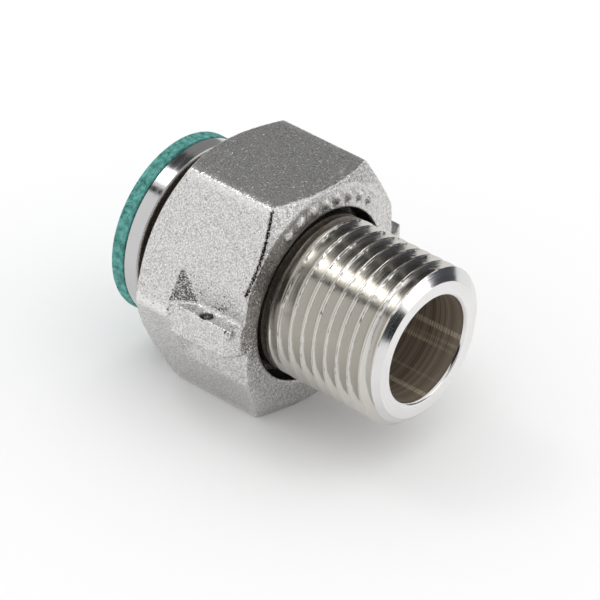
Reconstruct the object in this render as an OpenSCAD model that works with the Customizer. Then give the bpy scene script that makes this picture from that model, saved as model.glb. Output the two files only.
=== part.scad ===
/* [Union nut] */
// Wall left between the thread of the nut and its flats
side_wall = 2.7; // [2:0.1:5]
// Length of the nut from end to end
nut_len = 16.7; // [13:0.1:20]
// Radius of the rounded corners of the hexagon
nut_corner_r = 0.8; // [0.6:0.1:2.4]
// Thickness of the front wall that catches the flange
nut_wall = 3.4; // [2:0.1:5]
// Depth of the relief groove behind the thread of the nut
relief_depth = 1.1; // [0.4:0.1:1.5]
// Width of the relief groove behind the thread of the nut
relief_w = 2; // [1:0.1:3]
// Width of the lead-in at the mouth
mouth_entry = 0.9; // [0.3:0.1:1.4]
// Clearance between the front hole and the male thread that passes through it
hole_clear = 0.8; // [0.3:0.05:1.2]
// How far the rim of the front hole overlaps the flange that it catches
flange_catch = 0.62; // [0.4:0.02:1.5]
// Clearance between the flange and the thread of the nut
flange_clear = 0.4; // [0.3:0.05:0.8]
// Rounding at the rim of the front hole
hole_rim = 0.4; // [0.1:0.1:0.8]
// Distance from the flat disc on the front face to the flats
front_inset = 0.3; // [0:0.05:1.5]
// Axial fall of the front chamfer for each millimetre of radius
front_fall = 0.6; // [0.3:0.02:1]
// Distance from the flat ring on the back face to the flats
back_inset = 0.6; // [0:0.05:1.2]
// Axial fall of the back chamfer for each millimetre of radius
back_fall = 0.7; // [0.3:0.02:1]
// Gap between the back of the flange and the mouth of the nut at rest
rest_gap = 2.6; // [0.5:0.1:10]

/* [Seal lugs] */
// Distance from the front face to the far end of a pocket
pocket_len = 9.7; // [7:0.1:11]
// Depth of a pocket below its flat
pocket_depth = 1.9; // [1:0.1:2.2]
// Length of the sloping end of a pocket
pocket_ramp = 2.6; // [1:0.1:3.5]
// Width of the floor of the pocket beside the ridge
ridge_floor = 3.1; // [2:0.1:3.6]
// Width of the floor of the pocket beside the heel
heel_floor = 4; // [2.4:0.1:4.4]
// Reach of the web from the corner on its ridge side
web_ridge = 1.4; // [1:0.1:1.8]
// Reach of the web from the corner on its heel side
web_heel = 2.8; // [2:0.1:3.2]
// How far the outer face of a web lies inside the corner
web_trim = 0.69; // [0.1:0.01:0.9]
// Thickness of the ridge that runs on to the front face
ridge_t = 1.1; // [0.7:0.1:1.6]
// Diameter of the seal wire hole through a web
wire_d = 1.6; // [1:0.1:1.8]
// Distance from the front face to the seal wire hole
wire_back = 4.9; // [3.5:0.1:6]
// Distance from the outer face of a web to the middle of its hole
wire_inset = 1.1; // [1.1:0.05:1.5]

/* [Tailpiece] */
// Length of the tailpiece without its gasket
tail_len = 38.7; // [34:0.1:46]
// Thickness of the flange
flange_t = 2.4; // [1.5:0.1:4]
// Outer diameter of the pipe thread
thread_d = 20.955; // [18:0.005:26]
// Pitch of the pipe thread
thread_pitch = 1.814; // [1.2:0.001:2.5]
// How far the plain neck lies below the crests of the thread
neck_under = 0.08; // [0:0.01:0.6]
// Length of the thread with its end chamfer
thread_len = 16.9; // [12:0.1:18]
// Angle about the water way, up from +Y, at which a crest leaves the start of the thread
thread_turn = 115; // [0:5:355]
// Length over which the thread draws out of the metal at its start
draw_out = 1.2; // [0.4:0.1:2]
// Width of the groove where the thread runs out
groove_w = 0.6; // [0.3:0.1:1.5]
// Depth of the groove where the thread runs out
groove_depth = 0.25; // [0.1:0.05:0.8]
// Radial height of the chamfer at the thread end
chamfer_rise = 1.55; // [0.5:0.05:2.2]
// Axial length of the chamfer at the thread end
chamfer_run = 1; // [0.4:0.1:2.2]
// Wall of the tailpiece between its water way and the crests of its thread
tail_wall = 3.48; // [2.5:0.02:5]
// Chamfer at the two ends of the water way
bore_chamfer = 0.3; // [0.1:0.1:0.6]
// Fillet between the neck and the flange
neck_fillet = 0.5; // [0.2:0.1:0.6]
// Edge break on the flange
flange_edge = 0.25; // [0.1:0.05:0.5]

/* [Gasket] */
// Clearance between the gasket and the thread of the nut
gasket_clear = 0.3; // [0.3:0.05:0.8]
// Width of the ring of the gasket
gasket_w = 3.5; // [2.4:0.1:4.2]
// Thickness of the gasket
gasket_t = 1.9; // [1:0.1:3]
// Worn edge radius of the gasket
gasket_edge = 0.2; // [0.05:0.05:0.4]

/* [Hidden] */

// The origin is the middle of the gasket's outer face, and +X runs to the thread end.
eps = 0.01;
flange_x = gasket_t;
flange_back = flange_x + flange_t;
tail_end = flange_x + tail_len;
thread_x = tail_end - thread_len;
neck_d = thread_d - 2 * neck_under;
bore_d = thread_d - 2 * tail_wall;
nut_hole_d = thread_d + 2 * hole_clear;
flange_d = nut_hole_d + 2 * flange_catch;
mouth_d = flange_d + 2 * flange_clear;
gasket_d = mouth_d - 2 * gasket_clear;
nut_af = mouth_d + 2 * side_wall;
nut_back = flange_back + rest_gap;
nut_front = nut_back + nut_len;
seat_x = nut_front - nut_wall;
corner_far = nut_af / sqrt(3);
corner_mid = (nut_af / 2 - nut_corner_r) / cos(30);
web_face = corner_mid + nut_corner_r - web_trim;

// Turns a shape drawn along +Z so that it runs along +X, with its +X side down.
module along_x() rotate([0, 90, 0]) children();

// Spins a profile of [x, radius] points about the X axis.
module turned(points, faces = 128)
    along_x() rotate_extrude($fn = faces)
        polygon([for (p = points) [p[1], p[0]]]);

// Hexagon bar with rounded corners, one flat facing up.
module hex_bar(x, len) {
    steps = 4;
    translate([x, 0, 0]) along_x() linear_extrude(len)
        polygon([for (k = [0 : 5]) for (i = [0 : steps])
            let (side = 60 * k + 30, a = side - 30 + 60 * i / steps)
                corner_mid * [cos(side), sin(side)] + nut_corner_r * [cos(a), sin(a)]]);
}

// Envelope of the nut with the turned chamfers at both ends.
module nut_envelope() {
    front_r = nut_af / 2 - front_inset;
    back_r = nut_af / 2 - back_inset;
    turned([
        [nut_back, 0],
        [nut_back, back_r],
        [nut_back + back_fall * (corner_far - back_r), corner_far],
        [nut_front - front_fall * (corner_far - front_r), corner_far],
        [nut_front, front_r],
        [nut_front, 0],
    ]);
}

// Mouth with its lead-in, thread bore, relief groove, catching seat and front hole.
module nut_cavity() {
    mouth_r = mouth_d / 2;
    hole_r = nut_hole_d / 2;
    steps = 4;
    turned(concat(
        [[nut_back - eps, 0],
         [nut_back - eps, mouth_r + mouth_entry],
         [nut_back + mouth_entry, mouth_r],
         [seat_x - relief_w, mouth_r],
         [seat_x - relief_w, mouth_r + relief_depth],
         [seat_x, mouth_r + relief_depth],
         [seat_x, hole_r],
         [nut_front - hole_rim, hole_r]],
        [for (i = [1 : steps]) let (a = 90 * i / steps)
            [nut_front - hole_rim + hole_rim * sin(a), hole_r + hole_rim * (1 - cos(a))]],
        [[nut_front + eps, hole_r + hole_rim],
         [nut_front + eps, 0]]));
}

// Web on one corner. It is drawn on the -Y corner, with its ridge side up.
module web() {
    back = nut_front - pocket_len;
    root = web_face - 3 * wire_d;
    intersection() {
        translate([back, -web_face, -web_heel])
            cube([pocket_len, web_face - root, web_heel + web_ridge]);
        nut_envelope();
    }
    translate([back, -web_face, web_ridge - ridge_t])
        cube([pocket_len - hole_rim, web_face - root, ridge_t]);
}

// One pocket: it falls across the flat to the foot of the web and ends in a ramp.
// up is +1 for the flat above the -Y corner and -1 for the one below.
module pocket(up, web_side, floor_w) {
    tool_r = 0.25;
    rise = 2;
    low = pocket_depth - tool_r;
    wall = web_side + tool_r;
    // Distance along the flat, from its middle, of a point on the wall of the web.
    function on_wall(height) = ((nut_af / 2 + height) * sin(30) - wall) / cos(30);
    // Places a point by its distance behind the front face, along the flat and above it.
    function on_flat(back, along, height) = [
        nut_front - back,
        -(nut_af / 2 + height) * cos(30) - along * sin(30),
        up * ((nut_af / 2 + height) * sin(30) - along * cos(30))];
    foot = on_wall(-low);
    edge = foot - floor_w * (1 + rise / low);
    ramp_back = pocket_len - pocket_ramp;
    ramp_top = ramp_back + pocket_ramp * (low + rise) / low;
    points = [
        on_flat(ramp_top, edge, rise),
        on_flat(ramp_top, on_wall(rise), rise),
        on_flat(ramp_back, foot, -low),
        on_flat(-1, edge, rise),
        on_flat(-1, on_wall(rise), rise),
        on_flat(-1, foot, -low),
    ];
    hull() for (p = points) translate(p) sphere(r = tool_r, $fn = 14);
}

// Everything cut away round one web: two pockets, the outer face and the wire hole.
module web_cuts() {
    pocket(1, web_ridge, ridge_floor);
    pocket(-1, web_heel, heel_floor);
    translate([nut_front - pocket_len, -corner_far - web_face, -web_heel])
        cube([pocket_len + 1, corner_far, web_heel + web_ridge]);
    translate([nut_front - wire_back, wire_inset - web_face, (web_ridge - web_heel) / 2])
        cylinder(d = wire_d, h = 2 * (web_ridge + web_heel), center = true, $fn = 32);
}

module union_nut() color("silver")
    difference() {
        union() {
            intersection() {
                hex_bar(nut_back, nut_len);
                nut_envelope();
            }
            for (turn = [0, 180]) rotate([turn, 0, 0]) web();
        }
        nut_cavity();
        for (turn = [0, 180]) rotate([turn, 0, 0]) web_cuts();
    }

// Helical groove of the right-hand pipe thread: a 55 degree V, cut off by a sixth of its
// height at root and crest, swept from its start, where it draws out, past the tail end.
module thread_groove() {
    steps = 24;
    over = 0.2;
    slope = tan(55 / 2);
    root_w = thread_pitch / 6;
    depth = thread_pitch / 3 / slope;
    top_w = root_w + 2 * slope * (depth + over);
    last = ceil((thread_len / thread_pitch + 1) * steps);
    points = [for (i = [0 : last])
        let (turn = thread_turn + 360 * i / steps,
             along = thread_pitch * (i / steps - 0.5),
             root = thread_d / 2 - depth * min(1, along / draw_out),
             top = root + depth + over)
        for (p = [[-root_w / 2, root], [root_w / 2, root], [top_w / 2, top], [-top_w / 2, top]])
            [thread_x + along + p[0], p[1] * cos(turn), p[1] * sin(turn)]];
    sides = [for (i = [0 : last - 1]) for (k = [0 : 3])
        let (here = 4 * i + k, next = 4 * i + (k + 1) % 4)
        each [[here, here + 4, next], [next, here + 4, next + 4]]];
    polyhedron(points, concat([[0, 1, 2, 3]], sides, [[for (k = [3 : -1 : 0]) 4 * last + k]]));
}

module tailpiece() color("gainsboro") {
    neck_r = neck_d / 2;
    steps = 4;
    difference() {
        turned(concat(
            [[flange_x, 0],
             [flange_x, flange_d / 2 - flange_edge],
             [flange_x + flange_edge, flange_d / 2],
             [flange_back - flange_edge, flange_d / 2],
             [flange_back, flange_d / 2 - flange_edge]],
            [for (i = [0 : steps]) let (a = 90 * i / steps)
                [flange_back + neck_fillet * (1 - cos(a)), neck_r + neck_fillet * (1 - sin(a))]],
            [[thread_x - groove_w, neck_r],
             [thread_x - groove_w, neck_r - groove_depth],
             [thread_x, neck_r - groove_depth],
             [thread_x + groove_depth, thread_d / 2],
             [tail_end - chamfer_run, thread_d / 2],
             [tail_end, thread_d / 2 - chamfer_rise],
             [tail_end, 0]]));
        turned([
            [flange_x - eps, 0],
            [flange_x - eps, bore_d / 2 + bore_chamfer],
            [flange_x + bore_chamfer, bore_d / 2],
            [tail_end - bore_chamfer, bore_d / 2],
            [tail_end + eps, bore_d / 2 + bore_chamfer],
            [tail_end + eps, 0],
        ]);
        thread_groove();
    }
}

module gasket() color("mediumaquamarine") {
    outer = gasket_d / 2;
    inner = outer - gasket_w;
    steps = 3;
    turned(concat(
        [[0, inner]],
        [for (i = [0 : steps]) let (a = 90 * i / steps)
            [gasket_edge * (1 - cos(a)), outer - gasket_edge * (1 - sin(a))]],
        [for (i = [0 : steps]) let (a = 90 * i / steps)
            [gasket_t - gasket_edge * (1 - sin(a)), outer - gasket_edge * (1 - cos(a))]],
        [[gasket_t, inner]]));
}

union_nut();
tailpiece();
gasket();
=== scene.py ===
"""Half union: the looks of the tailpiece, the union nut and the gasket."""
import math

import bmesh
import bpy
import numpy as np
from mathutils import Matrix, Vector


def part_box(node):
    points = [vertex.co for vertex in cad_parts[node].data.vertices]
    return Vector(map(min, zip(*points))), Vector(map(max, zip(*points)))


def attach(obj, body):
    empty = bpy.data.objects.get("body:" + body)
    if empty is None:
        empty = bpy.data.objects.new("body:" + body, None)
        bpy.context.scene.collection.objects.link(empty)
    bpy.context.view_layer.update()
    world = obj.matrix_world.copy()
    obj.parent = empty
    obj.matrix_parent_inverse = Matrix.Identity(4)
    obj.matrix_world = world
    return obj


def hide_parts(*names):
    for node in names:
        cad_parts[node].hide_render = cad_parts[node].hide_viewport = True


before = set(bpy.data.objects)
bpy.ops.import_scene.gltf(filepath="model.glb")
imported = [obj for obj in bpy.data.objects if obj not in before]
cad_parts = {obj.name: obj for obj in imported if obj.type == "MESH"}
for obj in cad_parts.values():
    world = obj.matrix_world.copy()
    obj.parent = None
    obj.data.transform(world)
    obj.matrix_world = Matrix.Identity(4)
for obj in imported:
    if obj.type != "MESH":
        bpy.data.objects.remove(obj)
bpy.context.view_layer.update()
MM = 0.001

# Places along the water way, read from the frame, in millimetres
GASKET_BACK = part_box("gasket")[1].x / MM
TAIL_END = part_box("tailpiece")[1].x / MM
NUT_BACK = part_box("union_nut")[0].x / MM
NUT_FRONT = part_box("union_nut")[1].x / MM

# Tailpiece, in millimetres, and the angle of the thread's start in degrees
PITCH = 1.814
THREAD_R = 20.955 / 2
THREAD_DEPTH = PITCH / 3 / math.tan(math.radians(55 / 2))
THREAD_START = TAIL_END - 16.9
THREAD_TURN = 115
DRAW_OUT = 1.2  # length over which the thread reaches its depth
BURR = 0.09  # height lost between the burrs of a crest
KNOCK = 0.12  # depth of the deepest knock on a crest
SKIN_RUN = 0.7  # how far the neck's skin runs over the thread's start
CHAMFER_RUN = 1.0
CHAMFER_RISE = 1.55
GROOVE_W = 0.6
GROOVE_DEPTH = 0.25
NECK_R = THREAD_R - 0.08
NECK_FILLET = 0.5
FLANGE_BACK = GASKET_BACK + 2.4
FLANGE_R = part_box("tailpiece")[1].z / MM
FLANGE_EDGE = 0.25
BORE_R = THREAD_R - 3.48
BORE_CHAMFER = 0.3
BORE_ROUND = 0.5
OUTSIDE_R = BORE_R + 0.8  # past this radius a point is on the outside

# Gasket, in millimetres
GASKET_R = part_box("gasket")[1].z / MM
GASKET_W = 3.5
GASKET_EDGE = 0.2
GASKET_SINK = 0.05  # how unevenly the faces lie, and how widely
GASKET_GRAIN = 0.5

# Nut, in millimetres, and in degrees the arc of the pips and the side with the trimmed flash
NUT_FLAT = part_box("union_nut")[1].z / MM
MOUTH_R = NUT_FLAT - 2.7
MOUTH_ENTRY = 0.9
ROOT_R = MOUTH_R + 1.0
LINER = 0.4  # thickness of the threaded sleeve below its roots
NUT_THREAD_DEPTH = 0.9 * THREAD_DEPTH
HOLE_R = THREAD_R + 0.8
NUT_WALL = 3.4
HOLE_EDGE = 0.25  # how far the hole's painted shade runs outwards
WALL_EDGE = 0.3  # and behind the wall
RELIEF_W = 2.0
FRONT_INSET = 0.3
FRONT_FALL = 0.6
RUB_HIGHLIGHT_START = 16.7  # radius where the corners start to be rubbed and painted with highlight
RUB_HIGHLIGHT_END = 17.0  # and where they are rubbed and highlit most
PIP_COUNT = 8
PIP_FIRST, PIP_LAST = 122, 52
PIP_R = 13.1
PIP_W = 0.74
PIP_H = 0.5
PIP_SINK = 0.02
WELD = 0.24  # grain of the mesh that joins the nut's parts
NUT_SINK = 0.06  # how unevenly the skin lies, and how widely
NUT_GRAIN = 0.9
TRIM_SIDE = 150
TRIM_RAG = 0.9  # width of the painted shade line at the trim where the grit is high
TRIM_THIN = 0.22  # and what is taken off it, so that it breaks up
DENT_TILT = 2.6  # how strongly the steepest dents flash

# How near to a face a point counts as on it, and how far a finish runs past its edge, in millimetres
NEAR = 0.02
PAST = 0.1

# Kinds of node that are used again and again
MATH = "ShaderNodeMath"
VECTOR_MATH = "ShaderNodeVectorMath"
SEPARATE = "ShaderNodeSeparateXYZ"
COMBINE = "ShaderNodeCombineXYZ"
SPREAD = "ShaderNodeMapRange"
NOISE = "ShaderNodeTexNoise"
MIX = "ShaderNodeMix"
BUMP = "ShaderNodeBump"


def linear(hex_colour):
    """Turns an sRGB hex value to the linear colour that the shaders take."""
    parts = [int(hex_colour[i:i + 2], 16) / 255 for i in (1, 3, 5)]
    return tuple(c / 12.92 if c <= 0.04045 else ((c + 0.055) / 1.055) ** 2.4 for c in parts) + (1.0,)


def fill(tree, node, inputs):
    """Sets or links a node's inputs, given in order or by name. A node stands for its first output."""
    for key, value in inputs.items() if isinstance(inputs, dict) else enumerate(inputs):
        if isinstance(value, bpy.types.Node):
            value = value.outputs[0]
        if isinstance(value, bpy.types.NodeSocket):
            tree.links.new(value, node.inputs[key])
        else:
            node.inputs[key].default_value = value


def add(tree, kind, inputs=(), **settings):
    """Adds a node with its settings, and sets or links its inputs."""
    made = tree.nodes.new(kind)
    for name, value in settings.items():
        setattr(made, name, value)
    fill(tree, made, inputs)
    return made


def off_axis(tree, axes):
    """How far a point is from the X axis, from its three coordinates."""
    squares = [add(tree, MATH, (side, side), operation="MULTIPLY") for side in (axes[1], axes[2])]
    return add(tree, MATH, (add(tree, MATH, squares, operation="ADD"),), operation="SQRT")


# Meshes

def mesh_piece(name, verts, faces):
    """Makes a piece with its doubled points merged and its faces outward."""
    mesh = bpy.data.meshes.new(name)
    mesh.from_pydata([tuple(v) for v in verts], [], faces)
    bm = bmesh.new()
    bm.from_mesh(mesh)
    bmesh.ops.remove_doubles(bm, verts=bm.verts, dist=0.0001 * MM)
    bmesh.ops.dissolve_degenerate(bm, edges=bm.edges, dist=0.0001 * MM)
    bmesh.ops.recalc_face_normals(bm, faces=bm.faces)
    bm.to_mesh(mesh)
    bm.free()
    piece = bpy.data.objects.new(name, mesh)
    bpy.context.scene.collection.objects.link(piece)
    return piece


def crisp(piece, degrees):
    """Shades a piece smooth, but for edges that turn more than the angle."""
    piece.data.polygons.foreach_set("use_smooth", [True] * len(piece.data.polygons))
    piece.data.set_sharp_from_angle(angle=math.radians(degrees))


def revolved(profile, segments, closed=True):
    """Vertices and faces of an outline of (x, radius) points, in millimetres, turned about X."""
    turned_outline = np.array(profile) * MM
    angles = np.linspace(0, 2 * math.pi, segments, endpoint=False)
    x = np.repeat(turned_outline[:, 0], segments)
    y = np.outer(turned_outline[:, 1], np.cos(angles)).ravel()
    z = np.outer(turned_outline[:, 1], np.sin(angles)).ravel()
    rows = len(turned_outline)
    faces = []
    for i in range(rows if closed else rows - 1):
        for j in range(segments):
            k, m = (i + 1) % rows, (j + 1) % segments
            faces.append((i * segments + j, k * segments + j, k * segments + m, i * segments + m))
    return np.stack([x, y, z], 1), faces


def revolve(name, profile, segments):
    """Makes a piece of a closed outline turned about the X axis."""
    return mesh_piece(name, *revolved(profile, segments))


def line(start, end, step):
    """Points from start up to, but not with, end, about a step apart."""
    count = max(1, round(math.dist(start, end) / step))
    return [tuple(np.array(start) + (np.array(end) - np.array(start)) * i / count) for i in range(count)]


def outline(corners, steps=None):
    """A closed outline through corners, each with the step of the side after it."""
    points = []
    for i, corner in enumerate(corners):
        points += line(corner, corners[(i + 1) % len(corners)], (steps or {}).get(i, 1.5))
    return points


def settle(piece):
    """Turns what the modifiers make into the piece's own plain mesh."""
    graph = bpy.context.evaluated_depsgraph_get()
    graph.update()
    mesh = bpy.data.meshes.new_from_object(piece.evaluated_get(graph), depsgraph=graph)
    piece.modifiers.clear()
    piece.data = mesh


def grow(piece, tree, **inputs):
    """Runs a node tree on a piece, with its inputs given by name, and settles the result."""
    modifier = piece.modifiers.new(tree.name, "NODES")
    modifier.node_group = tree
    for item in tree.interface.items_tree:
        if item.in_out == "INPUT" and item.name in inputs:
            modifier[item.identifier] = inputs[item.name]
    settle(piece)


# Geometry trees

def new_tree(name, **sockets):
    """Starts a geometry tree with its named inputs, and returns it with what they give."""
    tree = bpy.data.node_groups.new(name, "GeometryNodeTree")
    tree.interface.new_socket("Geometry", in_out="INPUT", socket_type="NodeSocketGeometry")
    for label, kind in sockets.items():
        tree.interface.new_socket(label, in_out="INPUT", socket_type="NodeSocket" + kind)
    tree.interface.new_socket("Geometry", in_out="OUTPUT", socket_type="NodeSocketGeometry")
    return tree, add(tree, "NodeGroupInput").outputs


def end_tree(tree, geometry, material):
    """Ends a tree in plain geometry with its material."""
    real = add(tree, "GeometryNodeRealizeInstances", (geometry,))
    dressed = add(tree, "GeometryNodeSetMaterial", {"Geometry": real, "Material": material})
    add(tree, "NodeGroupOutput", (dressed,))


def thread_tree():
    """Cuts a right-hand pipe thread, a 55 degree V, into a face turned about the X axis.

    Side is -1 for a male thread, cut inwards from its crests, and +1 for a female one. Turn is
    the angle of the thread's start. The cut deepens over Draw past Start, where a chamfer rises
    out of the Groove at 45 degrees, and a cone of the given Run and Rise ends the thread. Knocks
    are up to Nick deep, and where it is nothing the crests have no burrs either.
    """
    tree, given = new_tree(
        "cut_thread", Pitch="Float", Depth="Float", Crest="Float", Start="Float", End="Float", Turn="Float",
        Groove="Float", Run="Float", Rise="Float", Side="Float", Draw="Float", Nick="Float", Seed="Float",
        Material="Material")
    place = add(tree, "GeometryNodeInputPosition")
    axes = add(tree, SEPARATE, (place,)).outputs
    radius = off_axis(tree, axes)
    along = add(tree, MATH, (axes[0], given["Start"]), operation="SUBTRACT")
    around = add(tree, MATH, (axes[2], axes[1]), operation="ARCTAN2")
    angle = add(tree, MATH, (around, given["Turn"]), operation="SUBTRACT")
    pitches = add(tree, MATH, (along, given["Pitch"]), operation="DIVIDE")
    turns = add(tree, MATH, (angle, 2 * math.pi), operation="DIVIDE")
    lead = add(tree, MATH, (pitches, turns), operation="SUBTRACT")
    phase = add(tree, MATH, (lead,), operation="FRACT")
    swing = add(tree, MATH, (phase, 2.0, -1.0), operation="MULTIPLY_ADD")
    tent = add(tree, MATH, (swing,), operation="ABSOLUTE")
    height = add(tree, SPREAD, {"Value": tent, "From Min": 1 / 6, "From Max": 5 / 6})
    drawn = add(tree, SPREAD, {"Value": along, "From Max": given["Draw"],
                               "To Min": given["Depth"], "To Max": 0.0})
    fall = add(tree, MATH, (1.0, height), operation="SUBTRACT")
    valley = add(tree, MATH, (given["Depth"], fall), operation="MULTIPLY")
    opened = add(tree, MATH, (valley, drawn), operation="SUBTRACT")
    cut = add(tree, MATH, (0.0, opened), operation="MAXIMUM")
    # Crests carry a burr along both edges, and knocks from handling, about 0.7 mm wide.
    dip = add(tree, SPREAD, {"Value": tent, "From Min": 0.85, "From Max": 0.91, "To Max": BURR * MM})
    burred = add(tree, MATH, (given["Nick"], 0.0), operation="GREATER_THAN")
    dipped = add(tree, MATH, (dip, burred), operation="MULTIPLY")
    rough = add(tree, NOISE, {"Vector": place, "W": given["Seed"], "Scale": 1.5 / MM, "Detail": 3.0,
                              "Roughness": 0.7}, noise_dimensions="4D")
    nick = add(tree, SPREAD, {"Value": rough, "From Min": 0.55, "From Max": 0.72, "To Max": given["Nick"]})
    crest = add(tree, MATH, (height, 6.0), operation="POWER")
    knocked = add(tree, MATH, (nick, crest), operation="MULTIPLY")
    wear_and_sheen = add(tree, MATH, (knocked, dipped), operation="ADD")
    back = add(tree, MATH, (given["Groove"], along), operation="SUBTRACT")
    cone = add(tree, MATH, (given["End"], given["Run"]), operation="SUBTRACT")
    front = add(tree, SPREAD, {"Value": axes[0], "From Min": cone, "From Max": given["End"],
                               "To Max": given["Rise"]})
    ends = add(tree, MATH, (back, front), operation="MAXIMUM")
    scored = add(tree, MATH, (cut, wear_and_sheen), operation="ADD")
    total = add(tree, MATH, (scored, ends), operation="MAXIMUM")
    face = add(tree, MATH, (total, given["Side"], given["Crest"]), operation="MULTIPLY_ADD")
    ratio = add(tree, MATH, (face, radius), operation="DIVIDE")
    sides = [add(tree, MATH, (side, ratio), operation="MULTIPLY") for side in (axes[1], axes[2])]
    moved = add(tree, COMBINE, [axes[0]] + sides)
    at_crest = add(tree, MATH, (radius, given["Crest"], NEAR * MM), operation="COMPARE")
    past_start = add(tree, MATH, (along, -0.01 * MM), operation="GREATER_THAN")
    threaded = add(tree, MATH, (at_crest, past_start), operation="MULTIPLY")
    placed = add(tree, "GeometryNodeSetPosition", {"Geometry": given["Geometry"], "Selection": threaded,
                                                   "Position": moved})
    end_tree(tree, placed, given["Material"])
    return tree


def pip_tree():
    """Sets a row of plain raised pips along an arc about the X axis."""
    tree, given = new_tree(
        "cast_pips", Count="Int", Place="Float", Arc="Float", First="Float", Last="Float", Width="Float",
        Height="Float", Material="Material")
    index = add(tree, "GeometryNodeInputIndex")
    gaps = add(tree, MATH, (given["Count"], 1.0), operation="SUBTRACT")
    share = add(tree, MATH, (index, gaps), operation="DIVIDE")
    sweep = add(tree, MATH, (given["Last"], given["First"]), operation="SUBTRACT")
    swept = add(tree, MATH, (share, sweep), operation="MULTIPLY")
    angle = add(tree, MATH, (given["First"], swept), operation="ADD")
    waves = [add(tree, MATH, (angle,), operation=wave) for wave in ("COSINE", "SINE")]
    sides = [add(tree, MATH, (given["Arc"], wave), operation="MULTIPLY") for wave in waves]
    spot = add(tree, COMBINE, [given["Place"]] + sides)
    points = add(tree, "GeometryNodePoints", {"Count": given["Count"], "Position": spot})
    ball = add(tree, "GeometryNodeMeshIcoSphere", {"Radius": 1.0, "Subdivisions": 3})
    size = add(tree, COMBINE, (given["Height"], given["Width"], given["Width"]))
    pips = add(tree, "GeometryNodeInstanceOnPoints", {"Points": points, "Instance": ball, "Scale": size})
    both = add(tree, "GeometryNodeJoinGeometry", (given["Geometry"],))
    fill(tree, both, (pips,))
    end_tree(tree, both, given["Material"])
    return tree


def skin_tree():
    """Sinks a surface unevenly by up to an amount, as forging and pressing leave it."""
    tree, given = new_tree("uneven_skin", Amount="Float", Grain="Float", Seed="Float", Material="Material")
    place = add(tree, "GeometryNodeInputPosition")
    scale = add(tree, MATH, (1.0, given["Grain"]), operation="DIVIDE")
    rough = add(tree, NOISE, {"Vector": place, "W": given["Seed"], "Scale": scale, "Detail": 3.0},
                noise_dimensions="4D")
    inward = add(tree, MATH, (given["Amount"], -1.0), operation="MULTIPLY")
    sink = add(tree, MATH, (rough, inward), operation="MULTIPLY")
    normal = add(tree, "GeometryNodeInputNormal")
    shift = add(tree, VECTOR_MATH, {0: normal, "Scale": sink}, operation="SCALE")
    placed = add(tree, "GeometryNodeSetPosition", {"Geometry": given["Geometry"], "Offset": shift})
    end_tree(tree, placed, given["Material"])
    return tree


# Materials. A pattern's scale over MM is how often it repeats in a millimetre.

def new_material(name):
    """Starts a material and returns its tree, its shader and its object coordinates."""
    material = bpy.data.materials.new(name)
    material.use_nodes = True
    tree = material.node_tree
    place = add(tree, "ShaderNodeTexCoord").outputs["Object"]
    return material, tree, tree.nodes["Principled BSDF"], place


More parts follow.
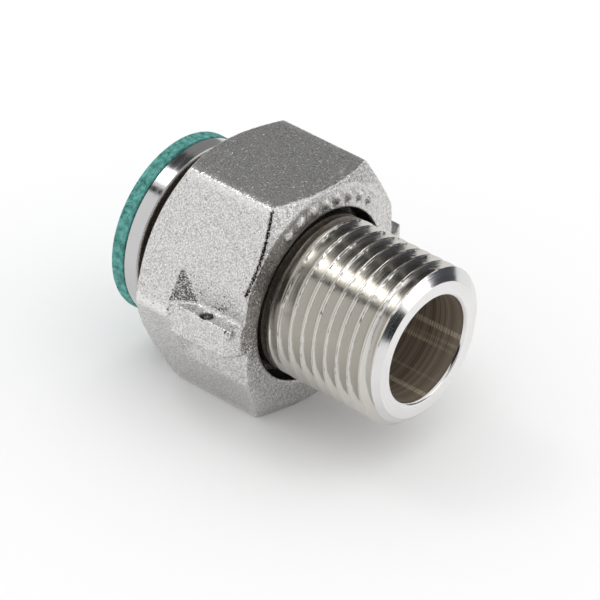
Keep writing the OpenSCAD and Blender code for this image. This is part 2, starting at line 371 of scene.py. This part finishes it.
def turned_nickel():
    """Turned brass with bright nickel plate: fine tool lines run round it and stretch the highlights."""
    material, tree, shader, place = new_material("turned_nickel_plate")
    axes = add(tree, SEPARATE, (place,)).outputs
    radius = off_axis(tree, axes)
    angle = add(tree, MATH, (axes[2], axes[1]), operation="ARCTAN2")
    # The same all round the axis, so that its noise makes rings. Real tool lines are finer than a
    # pixel, so they are drawn coarser, 0.77, 0.24 and 0.14 mm apart. Pits are 0.33 mm wide.
    ring_place = add(tree, COMBINE, (axes[0], radius))
    bands = add(tree, NOISE, {"Vector": ring_place, "Scale": 1.3 / MM, "Detail": 3.0})
    lines = add(tree, NOISE, {"Vector": ring_place, "Scale": 4.2 / MM, "Detail": 2.0})
    fine = add(tree, NOISE, {"Vector": ring_place, "Scale": 7.0 / MM, "Detail": 2.0})
    cloud = add(tree, NOISE, {"Vector": place, "Scale": 0.35 / MM, "Detail": 4.0})
    pits = add(tree, NOISE, {"Vector": place, "Scale": 3.0 / MM, "Detail": 3.0})
    bright = add(tree, MIX, {0: cloud, 6: linear("#D4D3D2"), 7: linear("#E4E3E3")}, data_type="RGBA")
    # The flange is turned more coarsely, and looks greyer.
    flange = add(tree, MATH, (axes[0], (FLANGE_BACK + PAST) * MM), operation="LESS_THAN")
    rim = add(tree, MIX, {0: flange, 6: bright.outputs[2], 7: linear("#C6C5C5")}, data_type="RGBA")
    # The end is faced last, and looks paler.
    faced = add(tree, MATH, (axes[0], (TAIL_END - NEAR) * MM), operation="GREATER_THAN")
    end = add(tree, MIX, {0: faced, 6: rim.outputs[2], 7: linear("#ECEBEA")}, data_type="RGBA")
    # The thread's cut faces are duller and warmer than the faces turned after it.
    below_crest = add(tree, MATH, (radius, (THREAD_R - NEAR) * MM), operation="LESS_THAN")
    past_start = add(tree, MATH, (axes[0], THREAD_START * MM), operation="GREATER_THAN")
    before_cone = add(tree, MATH, (axes[0], (TAIL_END - CHAMFER_RUN) * MM), operation="LESS_THAN")
    threaded = add(tree, MATH, (past_start, before_cone), operation="MULTIPLY")
    cut = add(tree, MATH, (below_crest, threaded), operation="MULTIPLY")
    tone = add(tree, MIX, {0: cut, 6: end.outputs[2], 7: linear("#CFCCC6")}, data_type="RGBA")
    # The drilled water way takes little plate and is dull and ringed, with painted highlights along it:
    # bright streaks standing for the lights' reflections, about 1.7 mm wide, or 4.2 to the radian.
    inside = add(tree, MATH, (radius, (BORE_R + NEAR) * MM), operation="LESS_THAN")
    ring_sum = add(tree, MATH, (bands, fine), operation="ADD")
    rings = add(tree, SPREAD, {"Value": ring_sum, "From Min": 0.8, "From Max": 1.2})
    ringed = add(tree, MIX, {0: rings, 6: linear("#74685B"), 7: linear("#A99C8D")}, data_type="RGBA")
    far = add(tree, MATH, (axes[0], 3.0), operation="MULTIPLY")
    around = add(tree, COMBINE, (angle, far))
    # Painted highlight: streaks along the bore that stand for reflected light.
    sheen_streak_noise = add(tree, NOISE, {"Vector": around, "Scale": 4.2, "Detail": 1.0})
    wear_and_sheen = add(tree, SPREAD, {"Value": sheen_streak_noise, "From Min": 0.59, "From Max": 0.65})
    broken = add(tree, SPREAD, {"Value": fine, "From Min": 0.42, "From Max": 0.56})
    painted_sheen_streak = add(tree, MATH, (wear_and_sheen, broken), operation="MULTIPLY")
    # Painted highlight: the streaks' pale colour stands for the reflections of the lights in the bore.
    drilled = add(tree, MIX, {0: painted_sheen_streak, 6: ringed.outputs[2], 7: linear("#E2D6BC")}, data_type="RGBA")
    bored = add(tree, MIX, {0: inside, 6: tone.outputs[2], 7: drilled.outputs[2]}, data_type="RGBA")
    # The neck keeps its forged skin, between the flange and the thread.
    outside = add(tree, MATH, (radius, OUTSIDE_R * MM), operation="GREATER_THAN")
    past_flange = add(tree, MATH, (axes[0], (FLANGE_BACK - PAST) * MM), operation="GREATER_THAN")
    before_thread = add(tree, MATH, (axes[0], (THREAD_START + SKIN_RUN) * MM), operation="LESS_THAN")
    between = add(tree, MATH, (past_flange, before_thread), operation="MULTIPLY")
    neck = add(tree, MATH, (outside, between), operation="MULTIPLY")
    skin = add(tree, MIX, {0: pits, 6: linear("#57504A"), 7: linear("#AEA69D")}, data_type="RGBA")
    forged = add(tree, MIX, {0: neck, 6: bored.outputs[2], 7: skin.outputs[2]}, data_type="RGBA")
    plated = add(tree, MATH, (inside, -0.6, 1.0), operation="MULTIPLY_ADD")
    smooth = add(tree, SPREAD, {"Value": bands, "From Min": 0.3, "From Max": 0.7,
                                "To Min": 0.1, "To Max": 0.2})
    dull = add(tree, MIX, {0: inside, 2: smooth, 3: 0.35})
    rough = add(tree, MIX, {0: neck, 2: dull, 3: 0.45})
    ground = add(tree, MATH, (faced, 0.15, rough), operation="MULTIPLY_ADD")
    # On the faced end the rings are coarse enough to stretch what it mirrors into a fan.
    stretched = add(tree, MATH, (faced, 0.8), operation="MULTIPLY")
    tangent = add(tree, "ShaderNodeTangent", direction_type="RADIAL", axis="X")
    low = add(tree, MATH, (lines, 0.6), operation="MULTIPLY")
    high = add(tree, MATH, (bands, 0.8), operation="MULTIPLY")
    ridges = add(tree, MATH, (low, high), operation="ADD")
    pitted = add(tree, MATH, (pits, neck), operation="MULTIPLY")
    grain = add(tree, MATH, (pitted, 8.0), operation="MULTIPLY")
    height = add(tree, MATH, (ridges, grain), operation="ADD")
    bump = add(tree, BUMP, {"Height": height, "Strength": 1.0, "Distance": 0.012 * MM})
    fill(tree, shader, {"Base Color": forged.outputs[2], "Metallic": plated, "Roughness": ground,
                        "Anisotropic": stretched, "Tangent": tangent, "Normal": bump})
    return material


def blasted_nickel():
    """Hot forged brass, shot blasted and nickel plated: a matt skin of tiny dents that sparkles."""
    material, tree, shader, place = new_material("shot_blasted_nickel_plate")
    # Shot leaves dents, each with its own tilt: most lie flat, a few flash or stay dark. They are drawn
    # coarser than real to show, 0.16 mm wide, with grit of 0.19 mm and waves of 2.4 mm from the forging.
    dents = add(tree, "ShaderNodeTexVoronoi", {"Vector": place, "Scale": 6.2 / MM, "Randomness": 1.0}).outputs
    grit = add(tree, NOISE, {"Vector": place, "Scale": 5.2 / MM, "Detail": 2.0})
    waves = add(tree, NOISE, {"Vector": place, "Scale": 0.42 / MM, "Detail": 2.0})
    specks = add(tree, SPREAD, {"Value": grit, "From Min": 0.36, "From Max": 0.64})
    tone = add(tree, MIX, {0: specks, 6: linear("#B4B2B0"), 7: linear("#E8E7E6")}, data_type="RGBA")
    # The corners are painted paler, partly as rubbed wear and partly as a painted highlight along their edges,
    # and the wall of the hole is painted dark as painted shade.
    axes = add(tree, SEPARATE, (place,)).outputs
    radius = off_axis(tree, axes)
    # Painted highlight: the rounded corners are painted paler, partly for rubbed wear and partly for the
    # highlight along their edges.
    rubbed_and_highlit = add(tree, SPREAD, {"Value": radius, "From Min": RUB_HIGHLIGHT_START * MM, "From Max": RUB_HIGHLIGHT_END * MM,
                                "To Max": 0.4})
    paler = add(tree, MIX, {0: rubbed_and_highlit, 6: tone.outputs[2], 7: linear("#FCFBFA")}, data_type="RGBA")
    in_hole = add(tree, MATH, (radius, (HOLE_R + HOLE_EDGE) * MM), operation="LESS_THAN")
    wall_back = (NUT_FRONT - NUT_WALL - WALL_EDGE) * MM
    in_wall = add(tree, MATH, (axes[0], wall_back), operation="GREATER_THAN")
    hole = add(tree, MATH, (in_hole, in_wall), operation="MULTIPLY")
    # Painted shade: the wall of the hole and its rim are painted dark, where shade falls in the hole.
    plated = add(tree, MIX, {0: hole, 6: paler.outputs[2], 7: linear("#6E6761")}, data_type="RGBA")
    # Where the flash was trimmed, a thin ragged line of painted shade, standing for the shading of its burr,
    # runs between one flat and the front cone.
    past_inset = add(tree, MATH, (radius, (NUT_FLAT - FRONT_INSET) * MM), operation="SUBTRACT")
    cone = add(tree, MATH, (past_inset, -FRONT_FALL, NUT_FRONT * MM), operation="MULTIPLY_ADD")
    to_cone = add(tree, MATH, (axes[0], cone), operation="SUBTRACT")
    off_cone = add(tree, MATH, (to_cone,), operation="ABSOLUTE")
    side = math.radians(TRIM_SIDE)
    across_y = add(tree, MATH, (axes[1], math.cos(side)), operation="MULTIPLY")
    across_z = add(tree, MATH, (axes[2], math.sin(side)), operation="MULTIPLY")
    across = add(tree, MATH, (across_y, across_z), operation="ADD")
    to_flat = add(tree, MATH, (across, (NUT_FLAT - 0.05) * MM), operation="SUBTRACT")
    off_flat = add(tree, MATH, (to_flat,), operation="ABSOLUTE")
    off_edge = add(tree, MATH, (off_cone, off_flat), operation="ADD")
    ragged = add(tree, MATH, (grit, TRIM_RAG * MM, -TRIM_THIN * MM), operation="MULTIPLY_ADD")
    trim_shade_mask = add(tree, MATH, (off_edge, ragged), operation="LESS_THAN")
    # Painted shade: the dark colour along the trimmed edge.
    trim_shaded = add(tree, MIX, {0: trim_shade_mask, 6: plated.outputs[2], 7: linear("#2C2A28")}, data_type="RGBA")
    gritty = add(tree, MATH, (grit, 0.8), operation="MULTIPLY")
    height = add(tree, MATH, (dents["Distance"], gritty), operation="ADD")
    fine = add(tree, BUMP, {"Height": height, "Strength": 1.0, "Distance": 0.02 * MM})
    broad = add(tree, BUMP, {"Height": waves, "Strength": 0.5, "Distance": 0.12 * MM, "Normal": fine})
    centred = add(tree, VECTOR_MATH, (dents["Color"], (-0.5, -0.5, -0.5)), operation="ADD")
    square = add(tree, VECTOR_MATH, (centred, centred), operation="MULTIPLY")
    cube = add(tree, VECTOR_MATH, (square, centred), operation="MULTIPLY")
    tilted = add(tree, VECTOR_MATH, (cube, (DENT_TILT,) * 3, broad), operation="MULTIPLY_ADD")
    normal = add(tree, VECTOR_MATH, (tilted,), operation="NORMALIZE")
    fill(tree, shader, {"Base Color": trim_shaded.outputs[2], "Metallic": 1.0, "Roughness": 0.28, "Normal": normal})
    return material


def fibre():
    """Compressed fibre sheet: matt, mottled green with dark flecks."""
    material, tree, shader, place = new_material("compressed_fibre_sheet")
    # The mottle is 0.67 mm wide and the flecks 0.33 mm, coarser than real fibres so that they show.
    cloud = add(tree, NOISE, {"Vector": place, "Scale": 1.5 / MM, "Detail": 5.0, "Roughness": 0.7})
    flecks = add(tree, NOISE, {"Vector": place, "Scale": 3.0 / MM, "Detail": 3.0})
    mottle = add(tree, SPREAD, {"Value": cloud, "From Min": 0.34, "From Max": 0.68})
    tone = add(tree, MIX, {0: mottle, 6: linear("#1D615A"), 7: linear("#73BFB6")}, data_type="RGBA")
    dark = add(tree, SPREAD, {"Value": flecks, "From Min": 0.58, "From Max": 0.68})
    spotted = add(tree, MIX, {0: dark, 6: tone.outputs[2], 7: linear("#1A524C")}, data_type="RGBA")
    height = add(tree, MATH, (cloud, flecks), operation="ADD")
    bump = add(tree, BUMP, {"Height": height, "Strength": 0.8, "Distance": 0.06 * MM})
    fill(tree, shader, {"Base Color": spotted.outputs[2], "Roughness": 0.85, "Normal": bump})
    return material


# Pieces

def thread_blank(start, end, radius, segments):
    """A plain cylinder face about the X axis whose rows follow the helix of the thread.

    The rows of each turn lie closest where the flanks meet the crest and the root.
    """
    rows_at = sorted([1 / 12, 1 / 12 + 0.004, 11 / 12, 11 / 12 - 0.004, 0.0, 0.045, 0.075, 0.925, 0.955]
                     + list(np.linspace(0.12, 0.40, 6)) + [5 / 12, 0.5, 7 / 12]
                     + list(np.linspace(0.60, 0.88, 6)))
    first, last = -2, math.ceil((end - start) / PITCH) + 1
    rows = [(turn + share) * PITCH for turn in range(first, last) for share in rows_at]
    angles = np.arange(segments + 1) / segments
    lead = PITCH * (angles - THREAD_TURN / 360)
    x = np.clip(start + np.array(rows)[:, None] + lead[None, :], start, end)
    y = np.repeat((radius * np.cos(2 * math.pi * angles))[None, :], len(rows), 0)
    z = np.repeat((radius * np.sin(2 * math.pi * angles))[None, :], len(rows), 0)
    verts = np.stack([x, y, z], 2).reshape(-1, 3) * MM
    wide = segments + 1
    faces = [(i * wide + j, i * wide + j + 1, (i + 1) * wide + j + 1, (i + 1) * wide + j)
             for i in range(len(rows) - 1) for j in range(segments)]
    return verts, faces


def make_tailpiece(threads, material):
    """The turned tailpiece: flange, neck, thread run-out groove, threaded end and water way."""
    segments = 288
    fillet = [(FLANGE_BACK + NECK_FILLET * (1 - math.cos(a)), NECK_R + NECK_FILLET * (1 - math.sin(a)))
              for a in np.linspace(0, math.pi / 2, 6)]
    mouth = [(TAIL_END - BORE_ROUND * (1 - math.sin(a)), BORE_R + BORE_ROUND * (1 - math.cos(a)))
             for a in np.linspace(math.pi / 2, 0, 7)]
    groove_r = NECK_R - GROOVE_DEPTH
    corners = [(TAIL_END, THREAD_R)] + mouth + [
        (GASKET_BACK + BORE_CHAMFER, BORE_R),
        (GASKET_BACK, BORE_R + BORE_CHAMFER),
        (GASKET_BACK, FLANGE_R - FLANGE_EDGE),
        (GASKET_BACK + FLANGE_EDGE, FLANGE_R),
        (FLANGE_BACK - FLANGE_EDGE, FLANGE_R),
        (FLANGE_BACK, FLANGE_R - FLANGE_EDGE),
    ] + fillet + [
        (THREAD_START - GROOVE_W, NECK_R),
        (THREAD_START - GROOVE_W, groove_r),
        (THREAD_START, groove_r),
        (THREAD_START, THREAD_R),
    ]
    points = []
    for i in range(len(corners) - 1):
        points += line(corners[i], corners[i + 1], step=2.0)
    points.append(corners[-1])
    turned_verts, turned_faces = revolved(points, segments, False)
    blank_verts, blank_faces = thread_blank(THREAD_START, TAIL_END, THREAD_R, segments)
    offset = len(turned_verts)
    verts = np.concatenate([turned_verts, blank_verts])
    faces = turned_faces + [tuple(v + offset for v in face) for face in blank_faces]
    piece = mesh_piece("turned_tailpiece", verts, faces)
    grow(piece, threads, Pitch=PITCH * MM, Depth=THREAD_DEPTH * MM, Crest=THREAD_R * MM,
         Start=THREAD_START * MM, End=TAIL_END * MM, Turn=math.radians(THREAD_TURN),
         Groove=(THREAD_R - groove_r) * MM, Run=CHAMFER_RUN * MM, Rise=CHAMFER_RISE * MM,
         Side=-1.0, Draw=DRAW_OUT * MM, Nick=KNOCK * MM, Seed=3.0, Material=material)
    crisp(piece, degrees=30)
    return piece


def make_nut(threads, pips, skin, material):
    """The forged nut: the CAD solid with its thread cut, its edges softened and its skin uneven."""
    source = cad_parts["union_nut"]
    piece = bpy.data.objects.new("forged_union_nut", source.data.copy())
    bpy.context.scene.collection.objects.link(piece)
    bm = bmesh.new()
    bm.from_mesh(piece.data)
    bmesh.ops.remove_doubles(bm, verts=bm.verts, dist=0.0005 * MM)
    bm.to_mesh(piece.data)
    bm.free()
    # The bore is opened to below the roots, and a threaded sleeve lines it again.
    thread_end = NUT_FRONT - NUT_WALL - RELIEF_W
    drill = revolve("drill", outline([(NUT_BACK - 1, 0.01), (NUT_BACK - 1, ROOT_R),
                                      (thread_end + 0.01, ROOT_R), (thread_end + 0.01, 0.01)]), segments=160)
    cut = piece.modifiers.new("drill", "BOOLEAN")
    cut.operation = "DIFFERENCE"
    cut.object = drill
    cut.solver = "EXACT"
    settle(piece)
    bpy.data.objects.remove(drill)
    sleeve = revolve("sleeve", outline([
        (NUT_BACK, MOUTH_R + MOUTH_ENTRY), (NUT_BACK + MOUTH_ENTRY, MOUTH_R), (thread_end, MOUTH_R),
        (thread_end, ROOT_R + LINER), (NUT_BACK, ROOT_R + LINER)], steps={0: 0.1, 1: 0.1}), segments=200)
    grow(sleeve, threads, Pitch=PITCH * MM, Depth=NUT_THREAD_DEPTH * MM, Crest=MOUTH_R * MM,
         Start=(NUT_BACK - 2) * MM, End=(thread_end + 2) * MM, Turn=0.0, Groove=-1.0 * MM,
         Run=1.0 * MM, Rise=0.01 * MM, Side=1.0, Draw=0.01 * MM, Nick=0.0, Seed=1.0, Material=material)
    bm = bmesh.new()
    bm.from_mesh(piece.data)
    bm.from_mesh(sleeve.data)
    bm.to_mesh(piece.data)
    bm.free()
    bpy.data.objects.remove(sleeve)
    grow(piece, pips, Count=PIP_COUNT, Place=(NUT_FRONT - PIP_SINK) * MM, Arc=PIP_R * MM,
         First=math.radians(PIP_FIRST), Last=math.radians(PIP_LAST), Width=PIP_W * MM,
         Height=PIP_H * MM, Material=material)
    weld = piece.modifiers.new("weld", "REMESH")
    weld.mode = "VOXEL"
    weld.voxel_size = WELD * MM
    soft = piece.modifiers.new("soft", "SMOOTH")
    soft.factor = 0.5
    soft.iterations = 1
    settle(piece)
    grow(piece, skin, Amount=NUT_SINK * MM, Grain=NUT_GRAIN * MM, Seed=5.0, Material=material)
    crisp(piece, degrees=180)
    return piece


def make_gasket(skin, material):
    """The flat gasket, with its cut edges slightly rounded and its faces uneven."""
    inner = GASKET_R - GASKET_W
    arc = np.linspace(0, math.pi / 2, 5)
    low = [(GASKET_EDGE * (1 - math.cos(a)), GASKET_R - GASKET_EDGE * (1 - math.sin(a))) for a in arc]
    high = [(GASKET_BACK - x, r) for x, r in reversed(low)]
    corners = [(0.0, inner)] + low + high + [(GASKET_BACK, inner)]
    steps = {i: 0.3 for i in range(len(corners))}
    piece = revolve("fibre_gasket", outline(corners, steps), segments=320)
    grow(piece, skin, Amount=GASKET_SINK * MM, Grain=GASKET_GRAIN * MM, Seed=9.0, Material=material)
    crisp(piece, degrees=60)
    return piece


turned = turned_nickel()
blasted = blasted_nickel()
fibres = fibre()
thread_cutter = thread_tree()
uneven = skin_tree()

tailpiece = make_tailpiece(thread_cutter, turned)
nut = make_nut(thread_cutter, pip_tree(), uneven, blasted)
gasket = make_gasket(uneven, fibres)

for piece, body, cad_node, slot in (
        (tailpiece, "tail", "tailpiece", "tail_nickel"),
        (nut, "nut", "union_nut", "nut_nickel"),
        (gasket, "gasket", "gasket", "gasket_fibre")):
    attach(piece, body)
    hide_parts(cad_node)


# Camera

PICTURE = 600
FOCAL_PX = 4000.0
END_PX = (428.5, 350.1)
DISTANCE = 477.5 * MM
AZIMUTH, ELEVATION, ROLL = 38.1, 32.0, -4.85


def view_axes(azimuth, elevation, roll):
    """Unit vectors to the camera, to the right and up in the picture, for angles in degrees.

    Roll is the angle by which the picture's up leans towards its right.
    """
    az, el, turn = (math.radians(a) for a in (azimuth, elevation, roll))
    out = Vector((math.sin(az) * math.cos(el), -math.cos(az) * math.cos(el), math.sin(el)))
    level = Vector((math.cos(az), math.sin(az), 0))
    up = out.cross(level)
    return out, level * math.cos(turn) - up * math.sin(turn), up * math.cos(turn) + level * math.sin(turn)


out, right, up = view_axes(AZIMUTH, ELEVATION, ROLL)
aside = (END_PX[0] - PICTURE / 2) / FOCAL_PX * DISTANCE
below = (END_PX[1] - PICTURE / 2) / FOCAL_PX * DISTANCE
camera_data = bpy.data.cameras.new("camera")
camera_data.sensor_width = 36
camera_data.lens = FOCAL_PX / PICTURE * camera_data.sensor_width
camera_data.clip_start = 0.01
camera = bpy.data.objects.new("camera", camera_data)
bpy.context.scene.collection.objects.link(camera)
turn = camera.matrix_world.to_3x3()
turn.col[0], turn.col[1], turn.col[2] = right, up, out
camera.matrix_world = turn.to_4x4()
camera.location = Vector((TAIL_END * MM, 0, 0)) - right * aside + up * below + out * DISTANCE
bpy.context.scene.camera = camera


# Light and stage

CENTRE = Vector((0.5 * TAIL_END * MM, 0, 0))
FLOOR_REACH = 3.0


def facing(name, data, azimuth, elevation, distance, lean):
    """Puts an object at a distance from the fitting, facing it, for angles in degrees.

    Azimuth turns from +X towards +Y, and lean turns the object's long side up from level.
    """
    az, el = math.radians(azimuth), math.radians(elevation)
    made = bpy.data.objects.new(name, data)
    bpy.context.scene.collection.objects.link(made)
    aim = Vector((math.cos(az) * math.cos(el), math.sin(az) * math.cos(el), math.sin(el)))
    level = Vector((-math.sin(az), math.cos(az), 0))
    over = aim.cross(level)
    tilt = math.radians(lean)
    made.matrix_world = Matrix((level * math.cos(tilt) + over * math.sin(tilt),
                                over * math.cos(tilt) - level * math.sin(tilt), aim)).transposed().to_4x4()
    made.location = CENTRE + aim * distance
    return made


def span(degrees, distance):
    """The length that an angle takes up at a distance."""
    return 2 * distance * math.tan(math.radians(degrees / 2))


def softbox(name, azimuth, elevation, wide, high, level, distance=0.6, lean=0):
    """A soft lamp, its sides given in degrees, whose face looks as bright as the level (1 is white)."""
    lamp = bpy.data.lights.new(name, "AREA")
    lamp.shape = "RECTANGLE"
    lamp.size = span(wide, distance)
    lamp.size_y = span(high, distance)
    lamp.energy = math.pi * lamp.size * lamp.size_y * level
    return facing(name, lamp, azimuth, elevation, distance, lean)


def flag(name, azimuth, elevation, wide, high, shade, distance=0.4, lean=0):
    """A dark card, its sides given in degrees, that only reflections show: it gives metal its contrast."""
    mesh = bpy.data.meshes.new(name)
    w, h = span(wide, distance) / 2, span(high, distance) / 2
    mesh.from_pydata([(-w, -h, 0), (w, -h, 0), (w, h, 0), (-w, h, 0)], [], [(0, 1, 2, 3)])
    material = bpy.data.materials.new(name)
    material.use_nodes = True
    tree = material.node_tree
    glow = add(tree, "ShaderNodeEmission", {"Color": linear(shade), "Strength": 1.0})
    fill(tree, tree.nodes["Material Output"], (glow,))
    mesh.materials.append(material)
    card = facing(name, mesh, azimuth, elevation, distance, lean)
    card.visible_camera = False
    card.visible_diffuse = False
    card.visible_transmission = False
    card.visible_shadow = False


softbox("key", -165, 56, 15, 13, 3.4)
softbox("strip", 25, 19, 28, 9, 1.5)
flag("back_flag", 132, 31, 66, 62, "#9A9A9A")
flag("side_flag", 101, 34, 30, 34, "#484848", distance=0.38)
flag("upper_flag", 152, 53, 30, 16, "#4A4A4C", distance=0.38)
flag("right_flag", 53, 7, 40, 18, "#484A50")
flag("edge_flag", -6, 2.5, 34, 15, "#16181C", distance=0.35, lean=55)
flag("key_edge_flag", -145, 43.5, 24, 6.5, "#202020", lean=38)
flag("lens_flag", -57, 18, 58, 50, "#262626", distance=0.9)

world = bpy.data.worlds.new("studio")
bpy.context.scene.world = world
world.use_nodes = True
fill(world.node_tree, world.node_tree.nodes["Background"], {"Color": linear("#FFFFFF"), "Strength": 1.0})

floor_mesh = bpy.data.meshes.new("floor")
low = -NUT_FLAT * MM
floor_mesh.from_pydata([(-FLOOR_REACH, -FLOOR_REACH, low), (FLOOR_REACH, -FLOOR_REACH, low),
                        (FLOOR_REACH, FLOOR_REACH, low), (-FLOOR_REACH, FLOOR_REACH, low)], [], [(0, 1, 2, 3)])
floor = bpy.data.objects.new("floor", floor_mesh)
bpy.context.scene.collection.objects.link(floor)
paper, paper_tree, paper_shader, _ = new_material("white_paper")
fill(paper_tree, paper_shader, {"Base Color": linear("#FAFAFA"), "Roughness": 1.0})
floor.data.materials.append(paper)

bpy.context.scene.view_settings.view_transform = "Standard"
